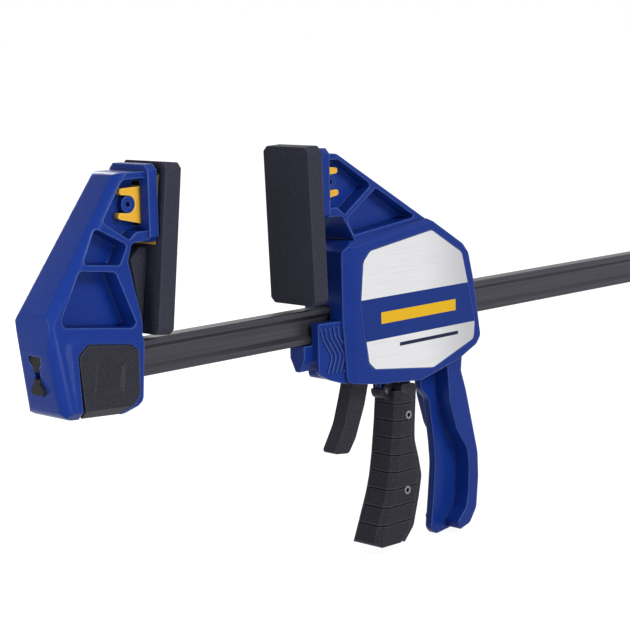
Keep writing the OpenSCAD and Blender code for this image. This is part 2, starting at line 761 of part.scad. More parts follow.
// Pins pressed into the housing's walls, hidden by the side plates
module lever_pin(at) {
    color(steel)
        on_moving() rod(at, pin_r, -body_half + plate_recess, body_half - plate_recess);
}
module drive_lever_pin() { lever_pin(drive_at); }
module brake_pin() { lever_pin(brake_at); }
module release_pin() { lever_pin(release_at); }

// Drive lever: a steel plate with a window for the bar, rocking on its pin
module bar_window(front, rear, below, above) {
    block([front, -bar_w / 2 - slide_play, bar_base - below], [rear, bar_w / 2 + slide_play, above]);
}
module drive_lever() {
    color(steel)
        on_moving()
            difference() {
                union() {
                    block([drive_at[0] - drive_t / 2, -lever_half, drive_low],
                        [drive_at[0] + drive_t / 2, lever_half, cavity_top - 3.5]);
                    rod(drive_at, pin_r + 2.3, -lever_half, lever_half);
                }
                bar_window(drive_at[0] - 20, drive_at[0] + 20, 0.9, 2.1);
                rod(drive_at, pin_r + pin_play, -far_out, far_out);
            }
}
// Brake lever: hangs from its pin, leaning so that its window grips the bar
module brake_lever() {
    color(steel)
        on_moving()
            translate([brake_at[0], 0, brake_at[1]])
                rotate([0, brake_lean, 0])
                    translate([-brake_at[0], 0, -brake_at[1]])
                        difference() {
                            union() {
                                block([brake_at[0] - brake_t / 2, -lever_half, brake_low],
                                    [brake_at[0] + brake_t / 2, lever_half, brake_at[1]]);
                                rod(brake_at, pin_r + 2, -lever_half, lever_half);
                            }
                            bar_window(brake_at[0] - 20, brake_at[0] + 20, 0.7, 0.7);
                            rod(brake_at, pin_r + pin_play, -far_out, far_out);
                        }
}
module drive_spring() {
    from = drive_at[0] + drive_t / 2 + 0.05;
    color(steel)
        on_moving()
            translate([from, 0, spring_z])
                rotate([0, 90, 0])
                    coil(6, cavity_rear - from - 0.05, 4, 0.55);
}
brake_spring_z = bar_base - 11.5;
module brake_spring() {
    from = brake_at[0] + brake_t / 2 + (brake_spring_z - brake_at[1]) * tan(brake_lean) + 0.45;
    color(steel)
        on_moving()
            translate([from, 0, brake_spring_z])
                rotate([0, 90, 0])
                    coil(2.5, spring_seat[0] - from - 0.05, 3.4, 0.45);
}

// Release lever: turns on its pin and pushes the brake lever upright
function release_outline() = soft([
    [17, bar_base - 9, 0], [18.6, bar_base - 29, 10], [15.9, bar_base - 38.2, 30],
    [11.1, bar_base - 52.7, 20],
    [0.9, bar_base - 69.2, 2], [14.4, bar_base - 70.8, 3], [20.6, bar_base - 62.5, 14],
    [28.9, bar_base - 43.4, 20],
    [32.8, bar_base - 30, 3], [27.6, bar_base - 25.2, 2], [27.6, bar_base - 22, 2], [26, bar_base - 9, 0]]);
module release_lever() {
    color(black)
        on_moving()
            difference() {
                union() {
                    across(release_outline(), release_half);
                    rod(release_at, pin_r + 2.8, -release_half, release_half);
                }
                rod(release_at, pin_r + pin_play, -far_out, far_out);
            }
}

// Trigger: a core with two cheeks on its pin, a post that presses the drive lever and a rear
// rim, under a grooved front grip
front_line = [[52.4, bar_base - 37.8, 1], [50.4, bar_base - 59, 60], [47.6, bar_base - 80, 40],
    [45, bar_base - 93.6, 20],
    [41.8, bar_base - 103.8, 30], [31.2, bar_base - 129.6, 2]];
rear_line = [[55.5, bar_base - 132.9, 1], [63.6, bar_base - 124.5, 6], [68.8, bar_base - 107.2, 20],
    [71.9, bar_base - 94, 12], [69.4, bar_base - 82.5, 20], [65.8, bar_base - 70, 20],
    [66.2, bar_base - 60, 20],
    [67.5, bar_base - 42.6, 2], [66, bar_base - 40, 1]];
rim_w = 3.4;
foot = [33.5, bar_base - 132.6, 3];
function moved(line, by) = [for (p = line) [p[0] + by, p[1], p[2]]];
function backwards(line) = [for (i = [len(line) - 1:-1:0]) line[i]];
function grip_outline() = soft(concat(front_line, [foot], moved(rear_line, -rim_w - gap)));
core_in = 7;
function core_outline() = soft(concat(
    [[front_line[0][0] + core_in, bar_base - 44, 2]], moved([for (i = [1:4]) front_line[i]], core_in),
    [[46, bar_base - 122, 3]], moved([for (i = [1:6]) rear_line[i]], 1 - rim_w),
    [[rear_line[7][0] + 1 - rim_w, bar_base - 44, 1]]));
function rim_outline() = soft(concat(backwards(moved(rear_line, -rim_w)), rear_line));
function cheek_outline() = soft([
    [trigger_at[0] - 1, trigger_at[1] - 3.7, 0], [58, bar_base - 47, 0], [58, bar_base - 35, 0],
    [trigger_at[0] + 1, trigger_at[1] + 3.3, 0]]);
function post_outline() = soft([
    [post_front, bar_base - 48, 0], [65.5, bar_base - 48, 0], [65.5, bar_base - 32, 2],
    [60.5, bar_base - 28, 3],
    [trigger_nose[0] + nose_r, trigger_nose[1], 0], [post_front, trigger_nose[1], 0]]);
rivet_at = [[60.3, bar_base - 53.7], [58.2, bar_base - 100.7]];
rivet_r = 2;
core_half = 7;
post_half = 9.2;
cheek_half = 4.4;
nose_r = 3;
post_front = trigger_nose[0] - 0.4;
knuckle_r = lug_r + gap + 1.3;
// The head closes the top of the grip
function head_outline() = soft([
    [54.5, bar_base - 38.6, 0.8], [55, bar_base - 33.8, 1], [66, bar_base - 34.6, 1],
    [68.4, bar_base - 36.5, 1.5],
    [67.3, bar_base - 43, 0], [64.2, bar_base - 43, 0], [62.6, bar_base - 39.4, 0]]);
module trigger_core() {
    across(core_outline(), core_half);
    across(head_outline(), trigger_half);
    difference() {
        rod(trigger_at, knuckle_r, -cheek_half, cheek_half);
        block([trigger_at[0] - 10, -far_out, trigger_at[1] + 1],
            [trigger_at[0] + 10, far_out, trigger_at[1] + 10]);
    }
    across(post_outline(), post_half);
    both_sides() {
        side(cheek_outline(), lug_half + gap, cheek_half);
        rod(trigger_at, lug_r, lug_half + gap, cheek_half);
    }
    rod(trigger_nose, nose_r, -post_half, post_half);
}
module lug_room() { rod(trigger_at, lug_r + gap, -lug_half - gap, lug_half + gap); }
module rivet_holes() { for (at = rivet_at) rod(at, rivet_r, -far_out, far_out); }
module trigger() {
    color(black)
        on_moving()
            difference() {
                union() {
                    trigger_core();
                    across(rim_outline(), trigger_half);
                }
                lug_room();
                rod(trigger_at, trigger_pin_r + pin_play, -far_out, far_out);
                rivet_holes();
            }
}
// The space behind the front line, sheared so that it falls back beyond the front flat
corner_slant = atan2(trigger_bevel, trigger_half - trigger_flat);
function ahead(from, to, z) = [from[0] + (to[0] - from[0]) * (z - from[1]) / (to[1] - from[1]), z, 0];
function behind_front() =
    let (
        top = ahead(front_line[1], front_line[0], bar_base - 30),
        low = ahead(front_line[4], front_line[5], bar_base - 140)
    )
    soft(concat([top], [for (i = [1:4]) front_line[i]], [low, [reach, low[1], 0], [reach, top[1], 0]]));
module front_corner() {
    translate([0, -trigger_flat, 0])
        rotate([0, 0, corner_slant])
            across([for (p = behind_front()) [p[0] * cos(corner_slant), p[1]]], reach);
}
groove_count = 8;
groove_first = 46.3;
function front_x(z) = lookup(-z, [for (p = front_line) [-p[1], p[0]]]);
// A groove around the front and sides, in the plane of the pins
module groove(z) {
    face = front_x(z) + groove_d;
    flat = trigger_flat - groove_d / 2;
    wall = trigger_half - groove_d;
    translate([0, 0, z - groove_w / 2])
        linear_extrude(groove_w)
            difference() {
                translate([0, -far_out]) square([100, 2 * far_out]);
                polygon([[face, -flat], [face + trigger_bevel, -wall], [110, -wall], [110, wall],
                    [face + trigger_bevel, wall], [face, flat]]);
            }
}
module trigger_grip() {
    color(black)
        on_moving()
            difference() {
                intersection() {
                    across(grip_outline(), trigger_half);
                    front_corner();
                    mirror([0, 1, 0]) front_corner();
                }
                trigger_core();
                rod(trigger_at, lug_r + gap, -cheek_half - gap, cheek_half + gap);
                rivet_holes();
                for (i = [0:groove_count - 1]) groove(bar_base - groove_first - i * groove_pitch);
            }
}
module trigger_rivets() {
    color(steel)
        on_moving()
            for (at = rivet_at)
                difference() {
                    union() {
                        rod(at, rivet_r, -trigger_half, trigger_half);
                        both_sides() rod(at, rivet_r + 0.7, trigger_half, trigger_half + 0.5);
                    }
                    rod(at, rivet_r - 0.7, -far_out, far_out);
                }
}
module trigger_pin() {
    color(steel)
        on_moving() rod(trigger_at, trigger_pin_r, -cheek_half - 0.3, cheek_half + 0.3);
}

seat() bar();
seat() fixed_jaw();
seat() push_button();
seat() lock_pin();
seat() lock_pin_clip();
seat() button_spring();
seat() fixed_pad_carrier();
seat() fixed_pad();
seat() moving_jaw();
seat() near_side_plate();
seat() far_side_plate();
seat() moving_pad_carrier();
seat() moving_pad();
seat() trigger();
seat() trigger_grip();
seat() trigger_rivets();
seat() trigger_pin();
seat() drive_lever();
seat() drive_lever_pin();
seat() drive_spring();
seat() release_lever();
seat() release_pin();
seat() brake_lever();
seat() brake_pin();
seat() brake_spring();
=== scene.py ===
import math

import bmesh
import bpy
from mathutils import Matrix, Vector


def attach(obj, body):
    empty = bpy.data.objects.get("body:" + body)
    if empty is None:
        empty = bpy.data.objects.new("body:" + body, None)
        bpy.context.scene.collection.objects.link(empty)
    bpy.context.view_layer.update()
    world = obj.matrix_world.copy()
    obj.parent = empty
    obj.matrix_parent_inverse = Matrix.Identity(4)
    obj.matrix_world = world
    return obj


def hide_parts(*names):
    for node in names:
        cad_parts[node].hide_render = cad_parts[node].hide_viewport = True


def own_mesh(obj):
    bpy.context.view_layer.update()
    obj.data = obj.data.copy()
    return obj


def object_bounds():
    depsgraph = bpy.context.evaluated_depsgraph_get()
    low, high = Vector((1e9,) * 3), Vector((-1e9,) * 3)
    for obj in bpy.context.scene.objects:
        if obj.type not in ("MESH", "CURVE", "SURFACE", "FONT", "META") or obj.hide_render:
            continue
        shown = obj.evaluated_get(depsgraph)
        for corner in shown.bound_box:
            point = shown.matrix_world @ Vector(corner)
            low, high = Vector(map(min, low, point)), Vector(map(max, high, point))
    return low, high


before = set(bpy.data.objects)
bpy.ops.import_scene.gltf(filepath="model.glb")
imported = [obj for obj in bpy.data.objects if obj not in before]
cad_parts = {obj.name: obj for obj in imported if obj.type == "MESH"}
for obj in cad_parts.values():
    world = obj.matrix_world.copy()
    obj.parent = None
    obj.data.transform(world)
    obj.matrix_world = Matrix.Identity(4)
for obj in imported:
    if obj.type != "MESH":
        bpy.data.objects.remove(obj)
cad_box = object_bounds()


# Bar. A rolled steel I-section, blackened with oxide and wiped with oil. Its corners are painted
# a little lighter, a painted highlight. The sawn end in the fixed jaw is coloured near black,
# painted shade for the slot that it sits in. The moving jaw slides along the rest.
MM = 0.001
BAR_DARK = (0.036, 0.035, 0.046, 1)
BAR_LIGHT = (0.064, 0.062, 0.078, 1)
BAR_HIGHLIGHT = (0.22, 0.22, 0.24, 1)
BAR_END_SHADE = (0.004, 0.004, 0.005, 1)
BAR_METALLIC = 0.65
BAR_ROUGHNESS = 0.42
BAR_END = -82.9 * MM
BAR_END_SHADE_FADE = 0.6 * MM
BAR_EDGE_ROUND = 0.25 * MM
STREAK_STRETCH = (0.012, 1, 1)
STREAK_FAINT = 0.3
STREAK_FULL = 0.7
EDGE_RAYS = 8
WELD_GAP = 0.002 * MM
FLAT_WITHIN = math.radians(0.6)
FACE_WEIGHT = 80


def new_surface(name):
    """A material with its nodes, links and shader at hand."""
    material = bpy.data.materials.new(name)
    material.use_nodes = True
    nodes = material.node_tree.nodes
    return material, nodes, material.node_tree.links, nodes["Principled BSDF"]


def new_effect(name, numbers, colours=(), gives=()):
    """A shader node group with number and colour inputs, and its own input and output nodes."""
    tree = bpy.data.node_groups.new(name, "ShaderNodeTree")
    for label, value in numbers:
        socket = tree.interface.new_socket(label, in_out="INPUT", socket_type="NodeSocketFloat")
        socket.default_value = value
    for label in colours:
        tree.interface.new_socket(label, in_out="INPUT", socket_type="NodeSocketColor")
    for label, kind in gives:
        tree.interface.new_socket(label, in_out="OUTPUT", socket_type="NodeSocket" + kind)
    return tree, tree.nodes.new("NodeGroupInput"), tree.nodes.new("NodeGroupOutput")


def place_effect(nodes, tree, **values):
    """An effect placed in a material with its own values."""
    effect = nodes.new("ShaderNodeGroup")
    effect.node_tree = tree
    for label, value in values.items():
        effect.inputs[label.replace("_", " ")].default_value = value
    return effect


def noise_node(tree, coordinates, scale, detail=2.0, roughness=0.5):
    """Noise over the given coordinates, at a fixed scale or one taken from a socket."""
    noise = tree.nodes.new("ShaderNodeTexNoise")
    noise.inputs["Detail"].default_value = detail
    noise.inputs["Roughness"].default_value = roughness
    if isinstance(scale, bpy.types.NodeSocket):
        tree.links.new(scale, noise.inputs["Scale"])
    else:
        noise.inputs["Scale"].default_value = scale
    tree.links.new(coordinates, noise.inputs["Vector"])
    return noise


def spread_node(nodes, links, value, start, end):
    """0 where a value is at start, 1 where it is at end."""
    spread = nodes.new("ShaderNodeMapRange")
    spread.inputs["From Min"].default_value = start
    spread.inputs["From Max"].default_value = end
    links.new(value, spread.inputs["Value"])
    return spread


def math_node(nodes, links, operation, first, second):
    """Two sockets put together by a sum, product or the like."""
    node = nodes.new("ShaderNodeMath")
    node.operation = operation
    links.new(first, node.inputs[0])
    links.new(second, node.inputs[1])
    return node.outputs["Value"]


def mix_colours(nodes, links, factor, first, second):
    """A colour between two, each of them a socket or a plain colour."""
    mix = nodes.new("ShaderNodeMix")
    mix.data_type = "RGBA"
    links.new(factor, mix.inputs["Factor"])
    for label, colour in (("A", first), ("B", second)):
        if isinstance(colour, bpy.types.NodeSocket):
            links.new(colour, mix.inputs[label])
        else:
            mix.inputs[label].default_value = colour
    return mix.outputs["Result"]


def split_place(nodes, links):
    """A point's own X, Y and Z in the clamp's frame."""
    place = nodes.new("ShaderNodeTexCoord")
    split = nodes.new("ShaderNodeSeparateXYZ")
    links.new(place.outputs["Object"], split.inputs["Vector"])
    return split.outputs


def make_drawn_streaks():
    """Fine lines along X, as rolling and brushing leave them: a light and dark tone and a height."""
    tree, given, out = new_effect(
        "Drawn streaks",
        [("Lines per metre", 2500.0), ("Contrast", 1.0)],
        ["Dark", "Light"],
        [("Colour", "Color"), ("Height", "Float")])
    place = tree.nodes.new("ShaderNodeTexCoord")
    stretch = tree.nodes.new("ShaderNodeMapping")
    stretch.inputs["Scale"].default_value = STREAK_STRETCH
    tree.links.new(place.outputs["Object"], stretch.inputs["Vector"])
    lines = noise_node(
        tree, stretch.outputs["Vector"], given.outputs["Lines per metre"], detail=3.0, roughness=0.6)
    spread = spread_node(tree.nodes, tree.links, lines.outputs["Fac"], STREAK_FAINT, STREAK_FULL)
    amount = math_node(
        tree.nodes, tree.links, "MULTIPLY", spread.outputs["Result"], given.outputs["Contrast"])
    tone = mix_colours(tree.nodes, tree.links, amount, given.outputs["Dark"], given.outputs["Light"])
    tree.links.new(tone, out.inputs["Colour"])
    tree.links.new(lines.outputs["Fac"], out.inputs["Height"])
    return tree


def make_edge_tone(name, inside, plain_at, full_at):
    """A second tone along edges: a painted highlight on outward ones, else painted shade on inward ones and
    by other pieces.
    """
    tree, given, out = new_effect(
        name,
        [("Reach", 0.5 * MM), ("Share", 0.5)],
        ["Colour", "Edge"],
        [("Colour", "Color")])
    open_share = tree.nodes.new("ShaderNodeAmbientOcclusion")
    open_share.inside = inside
    open_share.only_local = inside
    open_share.samples = EDGE_RAYS
    tree.links.new(given.outputs["Reach"], open_share.inputs["Distance"])
    edge = spread_node(tree.nodes, tree.links, open_share.outputs["AO"], plain_at, full_at)
    amount = math_node(tree.nodes, tree.links, "MULTIPLY", edge.outputs["Result"], given.outputs["Share"])
    tone = mix_colours(tree.nodes, tree.links, amount, given.outputs["Colour"], given.outputs["Edge"])
    tree.links.new(tone, out.inputs["Colour"])
    return tree


def bump(nodes, links, height, shader, strength, depth, soft=0):
    """Feeds a height, in metres of depth, to the shader's normal, with edges softened to a radius."""
    node = nodes.new("ShaderNodeBump")
    node.inputs["Strength"].default_value = strength
    node.inputs["Distance"].default_value = depth
    links.new(height, node.inputs["Height"])
    links.new(node.outputs["Normal"], shader.inputs["Normal"])
    if soft:
        rounded = nodes.new("ShaderNodeBevel")
        rounded.samples = EDGE_RAYS
        rounded.inputs["Radius"].default_value = soft
        links.new(rounded.outputs["Normal"], node.inputs["Normal"])


drawn_streaks = make_drawn_streaks()
# Painted highlight: outward edges are painted a lighter colour.
edge_highlight = make_edge_tone("Painted edge highlight", inside=True, plain_at=0.95, full_at=0.35)
# Painted shade: inward edges, recesses and places close to other pieces are painted darker.
recess_shade = make_edge_tone("Painted recess shade", inside=False, plain_at=0.97, full_at=0.45)


def make_bar_steel():
    material, nodes, links, shader = new_surface("bar_steel")
    shader.inputs["Metallic"].default_value = BAR_METALLIC
    shader.inputs["Roughness"].default_value = BAR_ROUGHNESS
    streaks = place_effect(
        nodes, drawn_streaks, Lines_per_metre=900, Contrast=0.8, Dark=BAR_DARK, Light=BAR_LIGHT)
    # Painted highlight: the bar's outward edges are painted lighter.
    highlight = place_effect(nodes, edge_highlight, Reach=0.5 * MM, Share=0.7, Edge=BAR_HIGHLIGHT)
    links.new(streaks.outputs["Colour"], highlight.inputs["Colour"])
    # Painted shade: the sawn end is coloured near black for the dark slot that it sits in.
    along = split_place(nodes, links)["X"]
    clear_of_end_shade = spread_node(nodes, links, along, BAR_END, BAR_END + BAR_END_SHADE_FADE)
    colour = mix_colours(nodes, links, clear_of_end_shade.outputs["Result"], BAR_END_SHADE, highlight.outputs["Colour"])
    links.new(colour, shader.inputs["Base Color"])
    bump(nodes, links, streaks.outputs["Height"], shader, strength=0.15, depth=0.1 * MM)
    return material


def soften(node, width, segments, sharper_than):
    """Rounds a CAD piece's edges as its mould or mill would, and shades its faces smoothly."""
    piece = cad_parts[node]
    weld = piece.modifiers.new("Weld", "WELD")
    weld.merge_threshold = WELD_GAP
    flats = piece.modifiers.new("Flats", "DECIMATE")
    flats.decimate_type = "DISSOLVE"
    flats.angle_limit = FLAT_WITHIN
    rounding = piece.modifiers.new("Rounding", "BEVEL")
    rounding.width = width
    rounding.segments = segments
    rounding.limit_method = "ANGLE"
    rounding.angle_limit = math.radians(sharper_than)
    rounding.use_clamp_overlap = True
    rounding.miter_outer = "MITER_ARC"
    smooth = piece.modifiers.new("Smooth", "WEIGHTED_NORMAL")
    smooth.weight = FACE_WEIGHT
    smooth.keep_sharp = False
    return piece


def dress(nodes, material, width, segments=3, sharper_than=30):
    """Gives CAD pieces their material and rounded edges."""
    for node in nodes:
        piece = soften(node, width, segments, sharper_than)
        piece.data.materials.clear()
        piece.data.materials.append(material)


dress(["bar"], make_bar_steel(), BAR_EDGE_ROUND, segments=2)


# Fixed jaw. A blue glass-filled nylon moulding with a fine spark-eroded grain, pushed over the
# end of the bar. Its pockets keep the walls even, and their rims are softly rounded.
NYLON_BLUE = (0.0090, 0.042, 0.290, 1)
NYLON_DEEP = (0.0055, 0.026, 0.200, 1)
NYLON_HIGHLIGHT = (0.12, 0.21, 0.58, 1)
NYLON_SOFT = 2.0 * MM
JAW_ROUND = 0.9 * MM
GRAIN_FAINT = 0.35
GRAIN_FULL = 0.65
GRAIN_DEPTH = 0.06 * MM
CLOUDS_PER_METRE = 45.0
RECESS_SHADE_TONE = 0.3


def make_moulded_grain():
    """Fine pits of a spark-eroded mould, and a faint cloudiness in the colour."""
    tree, given, out = new_effect(
        "Moulded grain",
        [("Grains per metre", 1400.0), ("Speckle", 0.5)],
        ["Deep", "Plain"],
        [("Colour", "Color"), ("Height", "Float")])
    place = tree.nodes.new("ShaderNodeTexCoord")
    pits = noise_node(tree, place.outputs["Object"], given.outputs["Grains per metre"], roughness=0.7)
    clouds = noise_node(tree, place.outputs["Object"], CLOUDS_PER_METRE, detail=3.0)
    sharpen = spread_node(tree.nodes, tree.links, pits.outputs["Fac"], GRAIN_FAINT, GRAIN_FULL)
    speck = tree.nodes.new("ShaderNodeMix")
    tree.links.new(given.outputs["Speckle"], speck.inputs["Factor"])
    tree.links.new(clouds.outputs["Fac"], speck.inputs["A"])
    tree.links.new(sharpen.outputs["Result"], speck.inputs["B"])
    tone = mix_colours(
        tree.nodes, tree.links, speck.outputs["Result"], given.outputs["Deep"], given.outputs["Plain"])
    tree.links.new(tone, out.inputs["Colour"])
    tree.links.new(sharpen.outputs["Result"], out.inputs["Height"])
    return tree


moulded_grain = make_moulded_grain()


def darker(colour):
    """A colour darkened for painted shade in a recess."""
    return [part * RECESS_SHADE_TONE for part in colour[:3]] + [1]


def make_moulding(name, plain, deep, highlight, gloss, roughness, grains, speckle, relief, soft=0):
    """A moulded plastic or rubber: its colour, gloss, grain, painted shade in recesses and a painted
    highlight on outward edges.
    """
    material, nodes, links, shader = new_surface(name)
    shader.inputs["Roughness"].default_value = roughness
    shader.inputs["Specular IOR Level"].default_value = gloss
    grain = place_effect(
        nodes, moulded_grain, Grains_per_metre=grains, Speckle=speckle, Deep=deep, Plain=plain)
    # Painted shade: recesses and gaps between parts are painted darker.
    shaded = place_effect(nodes, recess_shade, Reach=1.5 * MM, Share=0.8, Edge=darker(deep))
    # Painted highlight: outward edges are painted lighter.
    highlighted = place_effect(nodes, edge_highlight, Reach=0.8 * MM, Share=0.8, Edge=highlight)
    links.new(grain.outputs["Colour"], shaded.inputs["Colour"])
    links.new(shaded.outputs["Colour"], highlighted.inputs["Colour"])
    links.new(highlighted.outputs["Colour"], shader.inputs["Base Color"])
    bump(nodes, links, grain.outputs["Height"], shader, relief, GRAIN_DEPTH, soft)
    return material


nylon = make_moulding(
    "blue_nylon", NYLON_BLUE, NYLON_DEEP, NYLON_HIGHLIGHT,
    gloss=0.12, roughness=0.28, grains=1400, speckle=0.6, relief=0.4, soft=NYLON_SOFT)
dress(["fixed_jaw"], nylon, JAW_ROUND)


# Bar lock. A black button lies in the fixed jaw's near side over a spring, and pushes a turned
# steel pin, held by a spring clip, whose neck lets the bar's slot pass.
BLACK_PLAIN = (0.043, 0.042, 0.058, 1)
BLACK_DEEP = (0.016, 0.016, 0.023, 1)
BLACK_HIGHLIGHT = (0.11, 0.11, 0.13, 1)
STEEL_DARK = (0.16, 0.16, 0.17, 1)
STEEL_LIGHT = (0.34, 0.34, 0.35, 1)
BUTTON_ROUND = 0.4 * MM
LOCK_PIN_ROUND = 0.15 * MM
WIRE_SHARP = math.radians(70)


def make_steel(name, dark, light, roughness, lines):
    """Bare turned, ground or drawn steel."""
    material, nodes, links, shader = new_surface(name)
    shader.inputs["Metallic"].default_value = 1.0
    shader.inputs["Roughness"].default_value = roughness
    streaks = place_effect(
        nodes, drawn_streaks, Lines_per_metre=lines, Contrast=0.7, Dark=dark, Light=light)
    links.new(streaks.outputs["Colour"], shader.inputs["Base Color"])
    bump(nodes, links, streaks.outputs["Height"], shader, strength=0.1, depth=0.05 * MM)
    return material


black_plastic = make_moulding(
    "black_plastic", BLACK_PLAIN, BLACK_DEEP, BLACK_HIGHLIGHT,
    gloss=0.09, roughness=0.32, grains=1200, speckle=0.8, relief=0.6)
pin_steel = make_steel("pin_steel", STEEL_DARK, STEEL_LIGHT, roughness=0.34, lines=2500)
spring_steel = make_steel("spring_steel", STEEL_DARK, STEEL_LIGHT, roughness=0.3, lines=4000)
dress(["push_button"], black_plastic, BUTTON_ROUND, sharper_than=15)
dress(["lock_pin", "lock_pin_clip"], pin_steel, LOCK_PIN_ROUND, segments=2)


def add_coil(node, body):
    """A spring shown in place of its CAD node, carried along with a body."""
    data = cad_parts[node].data.copy()
    data.materials.clear()
    data.materials.append(spring_steel)
    data.shade_smooth()
    data.set_sharp_from_angle(angle=WIRE_SHARP)
    coil = bpy.data.objects.new(node + "_coil", data)
    bpy.context.scene.collection.objects.link(coil)
    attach(coil, body)
    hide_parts(node)
    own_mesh(coil)


add_coil("button_spring", "frame")


# Pads. Firm black pads, moulded over the base plates of yellow carriers whose open hooks snap
# on the jaws' pivot bosses, so that the faces can follow the work.
YELLOW_PLAIN = (0.95, 0.53, 0.055, 1)
YELLOW_DEEP = (0.86, 0.45, 0.035, 1)
YELLOW_HIGHLIGHT = (0.98, 0.72, 0.22, 1)
PAD_PLAIN = (0.052, 0.053, 0.077, 1)
PAD_DEEP = (0.030, 0.031, 0.046, 1)
CARRIER_ROUND = 0.4 * MM
PAD_ROUND = 0.6 * MM

yellow = make_moulding(
    "yellow_plastic", YELLOW_PLAIN, YELLOW_DEEP, YELLOW_HIGHLIGHT,
    gloss=0.15, roughness=0.4, grains=1500, speckle=0.2, relief=0.12)
pad_black = make_moulding(
    "pad_black", PAD_PLAIN, PAD_DEEP, BLACK_HIGHLIGHT,
    gloss=0.05, roughness=0.55, grains=1100, speckle=0.7, relief=0.4)
dress(["fixed_pad_carrier", "moving_pad_carrier"], yellow, CARRIER_ROUND)
dress(["fixed_pad", "moving_pad"], pad_black, PAD_ROUND)


# Moving jaw. The same blue nylon, moulded in one with the lever housing, the snout around the
# bar and the handle.
dress(["moving_jaw"], nylon, JAW_ROUND)


# Cheek ribs. Five bent ribs of the same nylon on each cheek of the snout, moulded in one with
# it, for finger and thumb. Each follows a line of points along and up its cheek.
CHEEK_FRONT = Vector((112.03, -11.0, 0)) * MM
CHEEK_ALONG = Vector((21.5, -3.4, 0)).normalized()
CHEEK_OUT = Vector((-3.4, -21.5, 0)).normalized()
RIB_BENDS = [(1.4, -10.8), (2.5, -16.6), (8.7, -27.2), (8.7, -30.3), (5.9, -38.0)]
RIB_COUNT = 5
RIB_PITCH = 3.07
RIB_HALF = 0.42 * MM
RIB_HEIGHT = 0.9 * MM
RIB_PROFILE = [(-1.15, -1.0), (-1, 0.55), (-0.6, 0.9), (0, 1), (0.6, 0.9), (1, 0.55), (1.15, -1.0)]
RIB_SHARP = math.radians(40)
BAR_TOP = -48.021


def rib_line(index, flip):
    """The middle line of a rib on the near cheek, or flipped to the far one, in metres."""
    line = []
    for along, up in RIB_BENDS:
        point = CHEEK_FRONT + CHEEK_ALONG * ((along + index * RIB_PITCH) * MM)
        line.append(Vector((point.x, point.y * flip, (up + BAR_TOP) * MM)))
    return line


def add_rib(mesh, line, out):
    """A rib with a rounded crest along a line, standing on a face that points out."""
    rings = []
    for i, point in enumerate(line):
        before, after = line[max(i - 1, 0)], line[min(i + 1, len(line) - 1)]
        across = (after - before).normalized().cross(out)
        rings.append([mesh.verts.new(point + across * (a * RIB_HALF) + out * (h * RIB_HEIGHT))
                      for a, h in RIB_PROFILE])
    for first, second in zip(rings, rings[1:]):
        for k in range(len(RIB_PROFILE)):
            j = (k + 1) % len(RIB_PROFILE)
            mesh.faces.new((first[k], first[j], second[j], second[k]))
    mesh.faces.new(list(reversed(rings[0])))
    mesh.faces.new(rings[-1])


def finish_ribs(mesh, name):
    """Turns a cheek's ribs into a piece that rides on the moving jaw."""
    bmesh.ops.recalc_face_normals(mesh, faces=mesh.faces)
    data = bpy.data.meshes.new(name)
    mesh.to_mesh(data)
    mesh.free()
    data.materials.append(nylon)
    data.shade_smooth()
    data.set_sharp_from_angle(angle=RIB_SHARP)
    piece = bpy.data.objects.new(name, data)
    bpy.context.scene.collection.objects.link(piece)
    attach(piece, "moving_jaw_body")


for side_name, flip in (("near", 1), ("far", -1)):
    ribs = bmesh.new()
    cheek_out = Vector((CHEEK_OUT.x, CHEEK_OUT.y * flip, 0))
    for index in range(RIB_COUNT):
        add_rib(ribs, rib_line(index, flip), cheek_out)
    finish_ribs(ribs, side_name + "_cheek_ribs")


# Side plates. Thin brushed aluminium, printed with a blue band and two stripes, glued into the
# recesses that cover the lever pins. Towards the rear their colour is painted darker, as painted shade.
PLATE_DARK = (0.64, 0.64, 0.66, 1)
PLATE_LIGHT = (0.73, 0.73, 0.75, 1)
PLATE_SHADE = (0.46, 0.46, 0.48, 1)
PLATE_SHADE_FROM = 0.19
PLATE_SHADE_TO = 0.25
PLATE_ROUGHNESS = 0.38
PLATE_INK_GLOSS = 0.12
PLATE_EDGE_ROUND = 0.15 * MM
BAND_BLUE = (0.0085, 0.036, 0.235, 1)
BAND_DEEP = (0.0065, 0.028, 0.195, 1)
STRIPE_YELLOW = (0.86, 0.50, 0.02, 1)
STRIPE_NAVY = (0.010, 0.014, 0.055, 1)
BAND_AREA = ((0.10, 0.30), (-70.1 * MM, -44.9 * MM))
YELLOW_AREA = ((0.158, 0.226), (-61.0 * MM, -54.0 * MM))
NAVY_AREA = ((0.174, 0.228), (-76.4 * MM, -74.2 * MM))
PRINTS = [
    (BAND_BLUE, BAND_DEEP, BAND_AREA),
    (STRIPE_YELLOW, STRIPE_YELLOW, YELLOW_AREA),
    (STRIPE_NAVY, STRIPE_NAVY, NAVY_AREA)]
PRINT_FADE = 0.08 * MM


def make_printed_area():
    """1 inside a rectangle of the side view, 0 outside, with a soft line between."""
    tree, given, out = new_effect(
        "Printed area",
        [("X from", 0.0), ("X to", 0.1), ("Z from", 0.0), ("Z to", 0.1)],
        (),
        [("Mask", "Float")])
    place = split_place(tree.nodes, tree.links)
    mask = None
    for axis in ("X", "Z"):
        here, start, end = place[axis], given.outputs[axis + " from"], given.outputs[axis + " to"]
        for further, nearer in ((here, start), (end, here)):
            gone = math_node(tree.nodes, tree.links, "SUBTRACT", further, nearer)
            fade = spread_node(tree.nodes, tree.links, gone, -PRINT_FADE, PRINT_FADE).outputs["Result"]
            mask = fade if mask is None else math_node(tree.nodes, tree.links, "MULTIPLY", mask, fade)
    tree.links.new(mask, out.inputs["Mask"])
    return tree


printed_area = make_printed_area()


